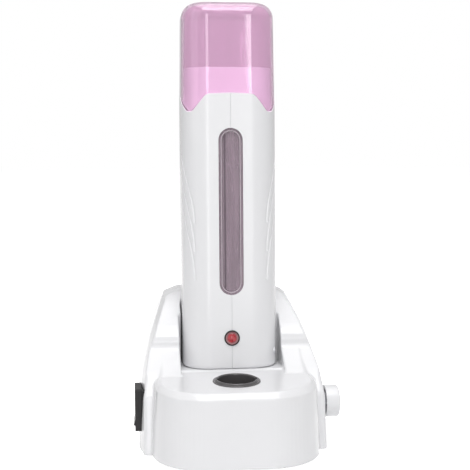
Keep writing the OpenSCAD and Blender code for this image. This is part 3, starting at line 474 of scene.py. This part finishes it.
def build_painted_shadow_strip():
    """Thin dark strip set in the pane's face: a painted shadow line down one side of the pane.

    On the real object the line is shade at the sleeve's slot, behind the pane."""
    low, high = upright_box("view_window")
    face = low.y + PANE_DISH - SHADOW_STRIP_PROUD
    bm = bmesh.new()
    bmesh.ops.create_cube(bm, size=1.0)
    bmesh.ops.scale(bm, verts=bm.verts,
                    vec=(SHADOW_STRIP_W, SHADOW_STRIP_DEEP, high.z - low.z - 2 * (PANE_FLANGE + SHADOW_STRIP_SHORT)))
    bmesh.ops.bevel(bm, geom=bm.edges, offset=SHADOW_STRIP_EDGE, offset_type="OFFSET", affect="EDGES",
                    segments=EDGE_SEGMENTS, profile=0.5, material=-1)
    centre = ((low.x + high.x) / 2 + SHADOW_STRIP_AT, face + SHADOW_STRIP_DEEP / 2, (low.z + high.z) / 2)
    bmesh.ops.translate(bm, verts=bm.verts, vec=centre)
    bmesh.ops.transform(bm, matrix=UPRIGHT.inverted(), verts=bm.verts)
    set_out(bm, "painted_shadow_strip", "view_window", "painted_window_shadow")


build_window()
build_pane_bead()
build_painted_shadow_strip()


# ---- front well ------------------------------------------------------------

WELL_BORE = 11.3 * MM
WELL_WALL = 1.6 * MM
WELL_DEEP = 27 * MM
WELL_LIP = 0.85 * MM
WELL_SEAT = 1.6 * MM
WELL_STEPS = 96
FLOOR_ROUND = 1 * MM
FLANGE_ROUND = 0.4 * MM
KEY_DEEP = 0.9 * MM
KEY_HALF_W = 1.7 * MM
KEY_LONG = 9 * MM
KEY_STEP = 0.3 * MM


def arc(centre, radius, start, end, steps=6):
    """Points of an arc in the plane of a profile, as (radius, height)."""
    angles = [math.radians(start + (end - start) * i / steps) for i in range(steps + 1)]
    return [(centre[0] + radius * math.cos(a), centre[1] + radius * math.sin(a)) for a in angles]


def turned(bm, profile, steps, closed=False):
    """A round solid about Z, spun from a profile of (radius, height)."""
    verts = [bm.verts.new((r, 0, z)) for r, z in profile]
    ends = verts[1:] + verts[:1] if closed else verts[1:]
    edges = [bm.edges.new(pair) for pair in zip(verts, ends)]
    bmesh.ops.spin(bm, geom=verts + edges, cent=(0, 0, 0), axis=(0, 0, 1), angle=math.tau,
                   steps=steps, use_merge=True)
    bmesh.ops.remove_doubles(bm, verts=bm.verts, dist=WELD)
    bmesh.ops.recalc_face_normals(bm, faces=bm.faces)


def build_well():
    """Black well with a rounded lip, a flange and two keyways down its bore."""
    low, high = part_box("well_liner")
    flange = (high.x - low.x) / 2
    seat = -WELL_SEAT
    floor = -WELL_DEEP
    lip = WELL_BORE + WELL_LIP
    profile = [(0, floor),
               *arc((WELL_BORE - FLOOR_ROUND, floor + FLOOR_ROUND), FLOOR_ROUND, -90, 0),
               (WELL_BORE, -KEY_LONG - KEY_STEP), (WELL_BORE, -KEY_LONG),
               *arc((lip, -WELL_LIP), WELL_LIP, 180, 10, 10), (lip + WELL_LIP + 0.2 * MM, -MM),
               *arc((flange - 0.5 * MM, seat + 0.25 * MM), FLANGE_ROUND, 80, 0), (flange, seat),
               (WELL_BORE + WELL_WALL, seat), (WELL_BORE + WELL_WALL, floor - WELL_WALL),
               (0, floor - WELL_WALL)]
    bm = bmesh.new()
    turned(bm, profile, WELL_STEPS)
    for v in bm.verts:
        radius = math.hypot(v.co.x, v.co.y)
        if v.co.z > -KEY_LONG - WELD and radius < lip and abs(v.co.y) < KEY_HALF_W:
            v.co.xy *= 1 + KEY_DEEP / radius
    centre = ((low.x + high.x) / 2, (low.y + high.y) / 2, high.z)
    bmesh.ops.translate(bm, verts=bm.verts, vec=centre)
    set_out(bm, "well", "well_liner", "well_plastic")


build_well()


# ---- indicator lamp --------------------------------------------------------

RING_IN, RING_OUT = 4.05 * MM, 4.9 * MM
RING_PROUD = 0.7 * MM
RING_BODY = 4.2 * MM
LENS_DOME = 2.85 * MM
DOME_RADIUS = 4.75 * MM
LAMP_DEEP = 5 * MM
LENS_BODY = 3.15 * MM
LENS_SEAT = 0.35 * MM
LENS_PLAY = 0.1 * MM
LENS_EDGE = 0.1 * MM
COLLAR_LOW, COLLAR_HIGH = -0.1 * MM, 0.35 * MM
LAMP_STEPS = 64


def lamp_piece(name, node, profile, closed=False, look=None):
    """A turned piece of the lamp, set in the handset's face where its CAD node is."""
    low, high = upright_box("lamp_ring")
    face = Vector(((low.x + high.x) / 2, low.y + RING_PROUD, (low.z + high.z) / 2))
    bm = bmesh.new()
    turned(bm, profile, LAMP_STEPS, closed)
    bmesh.ops.transform(bm, matrix=UPRIGHT.inverted() @ Matrix.Translation(face)
                        @ Matrix.Rotation(math.radians(90), 4, "X"), verts=bm.verts)
    set_out(bm, name, node, look)


def build_lamp():
    """Black bezel with a rounded lip, a sloping collar inside it and a domed red lens."""
    lip = (RING_OUT - RING_IN) / 2
    lamp_piece("bezel", "lamp_ring",
               [(RING_IN, -LENS_SEAT), (RING_IN, 0),
                *arc((RING_IN + lip, RING_PROUD - lip), lip, 180, 0, 12), (RING_OUT, 0),
                (RING_BODY, 0), (RING_BODY, -LAMP_DEEP), (LENS_BODY + LENS_PLAY, -LAMP_DEEP),
                (LENS_BODY + LENS_PLAY, -LENS_SEAT)], closed=True)
    lamp_piece("lens_collar", "lamp_lens",
               [(LENS_DOME, -LENS_SEAT), (LENS_DOME, COLLAR_LOW), (RING_IN, COLLAR_HIGH),
                (RING_IN, -LENS_SEAT)], closed=True, look="lamp_collar")
    rise = DOME_RADIUS - math.sqrt(DOME_RADIUS ** 2 - LENS_DOME ** 2)
    start = math.degrees(math.acos(LENS_DOME / DOME_RADIUS))
    lamp_piece("lens", "lamp_lens",
               [(0, -LAMP_DEEP), (LENS_BODY, -LAMP_DEEP), (LENS_BODY, -LENS_SEAT),
                (LENS_DOME, -LENS_SEAT), (LENS_DOME, LENS_EDGE),
                *arc((0, LENS_EDGE + rise - DOME_RADIUS), DOME_RADIUS, start, 90, 10)])


build_lamp()


# ---- screw plugs -----------------------------------------------------------

PLUG_ROUND = 2.75 * MM
PLUG_LONG = 8 * MM
PLUG_SIDES = 48


def build_screw_plugs():
    """White plugs that close the two screw holes flush with the handset's side."""
    hull = bmesh.new()
    hull.from_mesh(frame["nodes"]["shell_right"].data)
    inside = bmesh.ops.convex_hull(hull, input=hull.verts)["geom_interior"]
    bmesh.ops.delete(hull, geom=[v for v in inside if isinstance(v, bmesh.types.BMVert)],
                     context="VERTS")
    mesh = bpy.data.meshes.new("side_form")
    hull.to_mesh(mesh)
    hull.free()
    form = bpy.data.objects.new("side_form", mesh)
    bpy.context.scene.collection.objects.link(form)
    low, high = upright_box("shell_screws")
    head = (high.z - low.z) / 2
    sideways = Matrix.Rotation(math.radians(90), 4, "Y")
    bm = bmesh.new()
    for y in (low.y + head, high.y - head):
        place = Matrix.Translation((high.x + PLUG_LONG / 2, y, (low.z + high.z) / 2))
        bmesh.ops.create_cone(bm, cap_ends=True, segments=PLUG_SIDES, radius1=PLUG_ROUND,
                              radius2=PLUG_ROUND, depth=PLUG_LONG,
                              matrix=UPRIGHT.inverted() @ place @ sideways)
    piece = set_out(bm, "screw_plugs", "shell_right")
    trim = piece.modifiers.new("flush", "BOOLEAN")
    trim.operation = "INTERSECT"
    trim.object = form
    apply_modifiers(piece)
    piece.data.set_sharp_from_angle(angle=SMOOTH_ANGLE)
    bpy.data.objects.remove(form)


build_screw_plugs()


# ---- camera, light and stage -----------------------------------------------

SENSOR = 36.0
CAMERA_AT = Vector((-67.90, -606.9, 206.3)) * MM
LOOK_AT = Vector((1.2, 17.5, 127.9)) * MM
FOCAL_PIXELS = 986
FRAME_PIXELS = 470
NEAR, FAR = 0.02, 20

AMBIENT = 0.285
MIRRORED = 0.7
FLOOR_GLOW = 0.7
FLOOR_WHITE = 0.9
FLOOR_HALF_W = 3.0

# Upright strips in front: side, azimuth in degrees, width in metres, watts
STRIPS = (
    ("left", -4.4, 0.26, 2.0),
    ("right", 9.2, 0.06, 0.75),
)
STRIP_AWAY, STRIP_HEIGHT = 1.2, 0.33
STRIP_TALL = 0.66
STRIP_TARGET = (0, 0, 0.18)

# Softboxes: name, place and size in metres, watts
SOFTBOXES = (
    ("top", (0.0, -0.5, 1.3), (0.75, 0.65), 8.6),
    ("over", (0.0, 0.15, 1.3), (0.9, 0.8), 4.6),
    ("side_left", (-0.75, -0.35, 0.6), (0.6, 0.8), 0.9),
)
SOFTBOX_TARGET = (0, 0, 0.12)


def aim(thing, target):
    """Turns a camera or lamp towards a point."""
    direction = target - thing.location
    thing.rotation_mode = "QUATERNION"
    thing.rotation_quaternion = direction.to_track_quat("-Z", "Y")


def build_camera():
    """Camera at the photo's angle."""
    data = bpy.data.cameras.new("camera")
    data.sensor_fit = "HORIZONTAL"
    data.sensor_width = SENSOR
    data.lens = FOCAL_PIXELS / FRAME_PIXELS * SENSOR
    data.clip_start, data.clip_end = NEAR, FAR
    camera = bpy.data.objects.new("camera", data)
    bpy.context.scene.collection.objects.link(camera)
    camera.location = CAMERA_AT
    aim(camera, LOOK_AT)
    bpy.context.scene.camera = camera


def softbox(name, place, size, watts, target=SOFTBOX_TARGET):
    """A rectangular area lamp aimed at a point."""
    data = bpy.data.lights.new(name, "AREA")
    data.shape = "RECTANGLE"
    data.size, data.size_y = size
    data.energy = watts
    lamp = bpy.data.objects.new(name, data)
    bpy.context.scene.collection.objects.link(lamp)
    lamp.location = place
    aim(lamp, Vector(target))


def seen_directly(add):
    """1 for rays that see the stage: from the camera, in a gloss or through clear plastic."""
    path = add("ShaderNodeLightPath")
    first = add("ShaderNodeMath", {0: path.outputs["Is Camera Ray"],
                                   1: path.outputs["Is Glossy Ray"]}, operation="MAXIMUM")
    both = add("ShaderNodeMath", {0: first.outputs[0], 1: path.outputs["Is Transmission Ray"]},
               operation="MAXIMUM")
    return both.outputs[0]


def build_world():
    """White world: full to the camera, dimmer in gloss, and dim as light on the object."""
    world = bpy.data.worlds.new("studio")
    bpy.context.scene.world = world
    world.use_nodes = True
    tree = world.node_tree
    tree.nodes.clear()
    add = node_adder(tree)
    seen = add("ShaderNodeMix", {0: seen_directly(add), 2: AMBIENT, 3: 1.0}, data_type="FLOAT")
    glossy = add("ShaderNodeLightPath").outputs["Is Glossy Ray"]
    shown = add("ShaderNodeMix", {0: glossy, 2: seen.outputs[0], 3: MIRRORED}, data_type="FLOAT")
    light = add("ShaderNodeBackground", {"Color": (1, 1, 1, 1), "Strength": shown.outputs[0]})
    out = add("ShaderNodeOutputWorld")
    tree.links.new(light.outputs[0], out.inputs[0])


def build_floor():
    """Pale floor that looks white to the camera and keeps the object's soft shadow."""
    bm = bmesh.new()
    bmesh.ops.create_grid(bm, x_segments=1, y_segments=1, size=FLOOR_HALF_W)
    mesh = bpy.data.meshes.new("floor")
    bm.to_mesh(mesh)
    bm.free()
    floor = bpy.data.objects.new("floor", mesh)
    bpy.context.scene.collection.objects.link(floor)
    material, shader, add = new_material("pale_floor")
    shader.inputs["Base Color"].default_value = (FLOOR_WHITE, FLOOR_WHITE, FLOOR_WHITE, 1)
    shader.inputs["Roughness"].default_value = 0.9
    shader.inputs["Emission Color"].default_value = (1, 1, 1, 1)
    lift = add("ShaderNodeMath", {0: seen_directly(add), 1: FLOOR_GLOW}, operation="MULTIPLY")
    link(material, lift.outputs[0], shader.inputs["Emission Strength"])
    mesh.materials.append(material)


build_camera()
build_world()
build_floor()
for side, azimuth, width, watts in STRIPS:
    turn = math.radians(azimuth)
    place = (STRIP_AWAY * math.sin(turn), -STRIP_AWAY * math.cos(turn), STRIP_HEIGHT)
    softbox(f"strip_{side}", place, (width, STRIP_TALL), watts, STRIP_TARGET)
for name, place, size, watts in SOFTBOXES:
    softbox(name, place, size, watts)

bpy.context.scene.view_settings.view_transform = "Standard"
